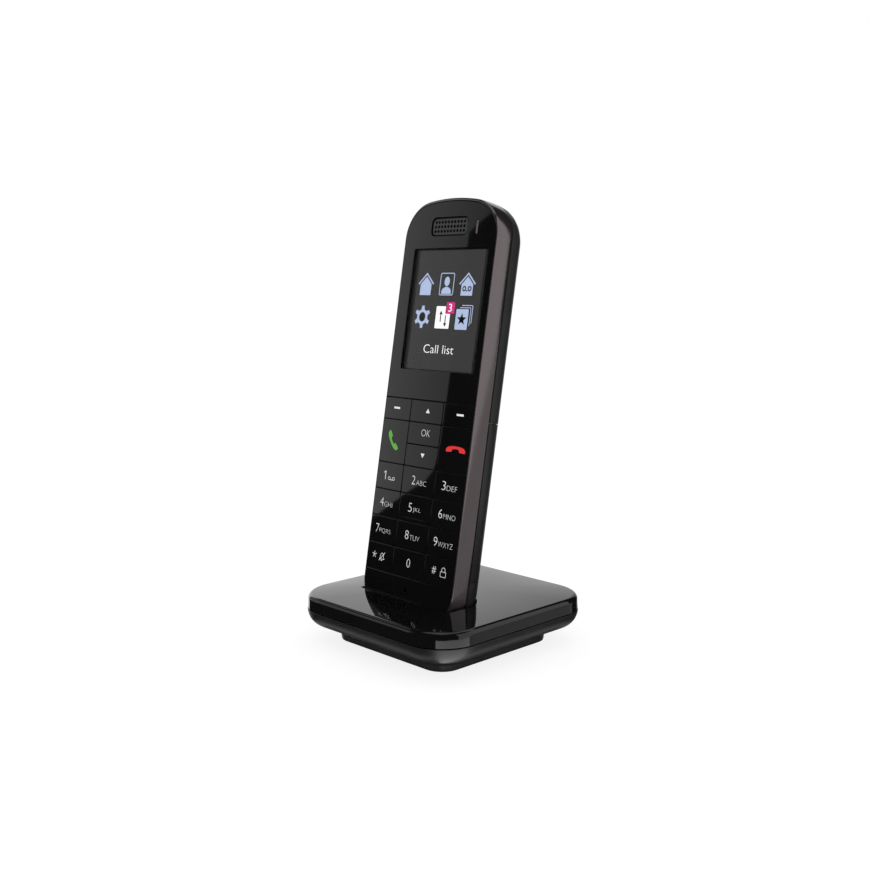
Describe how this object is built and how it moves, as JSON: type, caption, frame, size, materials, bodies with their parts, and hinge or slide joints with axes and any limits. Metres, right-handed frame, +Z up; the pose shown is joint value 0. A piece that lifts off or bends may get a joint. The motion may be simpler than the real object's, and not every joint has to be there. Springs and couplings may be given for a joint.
{
  "type": "cordless phone with base",
  "caption": "Cordless telephone handset with colour display and keypad, leaning back in a square domed charging base.",
  "frame": {"origin": "middle of the base's footprint, on the surface it stands on", "axes": "+Z up, the phone's front faces -Y, +X across the base, to the right as one looks at the phone's front"},
  "size_m": [0.0804, 0.0804, 0.1628],
  "materials": {
    "gloss_black_plastic": "mirror-like black moulding",
    "satin_black_plastic": "satin black moulding",
    "circuit_board": "green solder mask",
    "zinc_steel": "zinc plated",
    "gold_brass": "gold plated",
    "grey_rubber": "soft grey rubber",
    "metallic_paint": "satin metallic paint on a moulded band",
    "satin_grey_plastic": "satin dark grey moulding",
    "housing_plastic": "plain black moulding",
    "clear_lens": "clear acrylic printed black behind, all but the display window",
    "gloss_black_front": "piano black",
    "silicone": "translucent grey silicone",
    "display_glass": "dark display glass",
    "grille_plastic": "satin grey moulding",
    "light_guide": "frosted clear plastic",
    "cell_wrap": "printed film sleeve"
  },
  "bodies": {
    "base": {"base_top_shell": "gloss_black_plastic", "base_lower_shell": "satin_black_plastic", "base_circuit_board": "circuit_board", "base_ballast": "zinc_steel", "base_power_inlet": "satin_black_plastic", "base_foot_front_left": "grey_rubber", "base_foot_front_right": "grey_rubber", "base_foot_rear_left": "grey_rubber", "base_foot_rear_right": "grey_rubber", "base_screw_front_left": "zinc_steel", "base_screw_front_right": "zinc_steel", "base_screw_rear_left": "zinc_steel", "base_screw_rear_right": "zinc_steel"},
    "handset": {"side_frame": "metallic_paint", "front_housing": "housing_plastic", "display_lens": "clear_lens", "chin_panel": "gloss_black_front", "key_mat": "silicone", "display_module": "display_glass", "handset_circuit_board": "circuit_board", "earpiece_grille": "grille_plastic", "earpiece": "zinc_steel", "status_light": "light_guide", "microphone": "zinc_steel", "loudspeaker": "housing_plastic", "aerial": "zinc_steel", "rear_housing": "satin_grey_plastic", "battery_cell_left": "cell_wrap", "battery_cell_right": "cell_wrap", "battery_contacts_bottom": "zinc_steel", "battery_contacts_top": "zinc_steel", "charge_contact_left": "gold_brass", "charge_contact_right": "gold_brass", "handset_screw_lower_left": "zinc_steel", "handset_screw_upper_left": "zinc_steel", "handset_screw_lower_right": "zinc_steel", "handset_screw_upper_right": "zinc_steel"},
    "battery_cover": {"battery_cover": "satin_grey_plastic"},
    "charge_pin_left": {"charge_pin_left": "gold_brass"},
    "charge_pin_right": {"charge_pin_right": "gold_brass"},
    "key_star": {"key_star": "gloss_black_front"},
    "key_0": {"key_0": "gloss_black_front"},
    "key_hash": {"key_hash": "gloss_black_front"},
    "key_7": {"key_7": "gloss_black_front"},
    "key_8": {"key_8": "gloss_black_front"},
    "key_9": {"key_9": "gloss_black_front"},
    "key_4": {"key_4": "gloss_black_front"},
    "key_5": {"key_5": "gloss_black_front"},
    "key_6": {"key_6": "gloss_black_front"},
    "key_1": {"key_1": "gloss_black_front"},
    "key_2": {"key_2": "gloss_black_front"},
    "key_3": {"key_3": "gloss_black_front"},
    "key_down": {"key_down": "gloss_black_front"},
    "key_ok": {"key_ok": "gloss_black_front"},
    "key_up": {"key_up": "gloss_black_front"},
    "key_talk": {"key_talk": "gloss_black_front"},
    "key_soft_left": {"key_soft_left": "gloss_black_front"},
    "key_end": {"key_end": "gloss_black_front"},
    "key_soft_right": {"key_soft_right": "gloss_black_front"}
  },
  "joints": [
    {"name": "handset_lift", "type": "slide", "parent": "base", "child": "handset", "axis": [0, 0.1709, 0.9853], "range_m": [0, 0.06]},
    {"name": "battery_cover_release", "type": "slide", "parent": "handset", "child": "battery_cover", "axis": [0, 0.9853, -0.1709], "range_m": [0, 0.02]},
    {"name": "key_star_press", "type": "slide", "parent": "handset", "child": "key_star", "axis": [0, 0.9853, -0.1709], "range_m": [0, 0.0003], "stiffness_N_per_m": 1500},
    {"name": "key_0_press", "type": "slide", "parent": "handset", "child": "key_0", "axis": [0, 0.9853, -0.1709], "range_m": [0, 0.0003], "stiffness_N_per_m": 1500},
    {"name": "key_hash_press", "type": "slide", "parent": "handset", "child": "key_hash", "axis": [0, 0.9853, -0.1709], "range_m": [0, 0.0003], "stiffness_N_per_m": 1500},
    {"name": "key_7_press", "type": "slide", "parent": "handset", "child": "key_7", "axis": [0, 0.9853, -0.1709], "range_m": [0, 0.0003], "stiffness_N_per_m": 1500},
    {"name": "key_8_press", "type": "slide", "parent": "handset", "child": "key_8", "axis": [0, 0.9853, -0.1709], "range_m": [0, 0.0003], "stiffness_N_per_m": 1500},
    {"name": "key_9_press", "type": "slide", "parent": "handset", "child": "key_9", "axis": [0, 0.9853, -0.1709], "range_m": [0, 0.0003], "stiffness_N_per_m": 1500},
    {"name": "key_4_press", "type": "slide", "parent": "handset", "child": "key_4", "axis": [0, 0.9853, -0.1709], "range_m": [0, 0.0003], "stiffness_N_per_m": 1500},
    {"name": "key_5_press", "type": "slide", "parent": "handset", "child": "key_5", "axis": [0, 0.9853, -0.1709], "range_m": [0, 0.0003], "stiffness_N_per_m": 1500},
    {"name": "key_6_press", "type": "slide", "parent": "handset", "child": "key_6", "axis": [0, 0.9853, -0.1709], "range_m": [0, 0.0003], "stiffness_N_per_m": 1500},
    {"name": "key_1_press", "type": "slide", "parent": "handset", "child": "key_1", "axis": [0, 0.9853, -0.1709], "range_m": [0, 0.0003], "stiffness_N_per_m": 1500},
    {"name": "key_2_press", "type": "slide", "parent": "handset", "child": "key_2", "axis": [0, 0.9853, -0.1709], "range_m": [0, 0.0003], "stiffness_N_per_m": 1500},
    {"name": "key_3_press", "type": "slide", "parent": "handset", "child": "key_3", "axis": [0, 0.9853, -0.1709], "range_m": [0, 0.0003], "stiffness_N_per_m": 1500},
    {"name": "key_down_press", "type": "slide", "parent": "handset", "child": "key_down", "axis": [0, 0.9853, -0.1709], "range_m": [0, 0.0003], "stiffness_N_per_m": 1500},
    {"name": "key_ok_press", "type": "slide", "parent": "handset", "child": "key_ok", "axis": [0, 0.9853, -0.1709], "range_m": [0, 0.0003], "stiffness_N_per_m": 1500},
    {"name": "key_up_press", "type": "slide", "parent": "handset", "child": "key_up", "axis": [0, 0.9853, -0.1709], "range_m": [0, 0.0003], "stiffness_N_per_m": 1500},
    {"name": "key_talk_press", "type": "slide", "parent": "handset", "child": "key_talk", "axis": [0, 0.9853, -0.1709], "range_m": [0, 0.0003], "stiffness_N_per_m": 1500},
    {"name": "key_soft_left_press", "type": "slide", "parent": "handset", "child": "key_soft_left", "axis": [0, 0.9853, -0.1709], "range_m": [0, 0.0003], "stiffness_N_per_m": 1500},
    {"name": "key_end_press", "type": "slide", "parent": "handset", "child": "key_end", "axis": [0, 0.9853, -0.1709], "range_m": [0, 0.0003], "stiffness_N_per_m": 1500},
    {"name": "key_soft_right_press", "type": "slide", "parent": "handset", "child": "key_soft_right", "axis": [0, 0.9853, -0.1709], "range_m": [0, 0.0003], "stiffness_N_per_m": 1500},
    {"name": "charge_pin_left_press", "type": "slide", "parent": "base", "child": "charge_pin_left", "axis": [0, 0.1709, 0.9853], "range_m": [-0.001, 0], "stiffness_N_per_m": 500},
    {"name": "charge_pin_right_press", "type": "slide", "parent": "base", "child": "charge_pin_right", "axis": [0, 0.1709, 0.9853], "range_m": [-0.001, 0], "stiffness_N_per_m": 500}
  ]
}
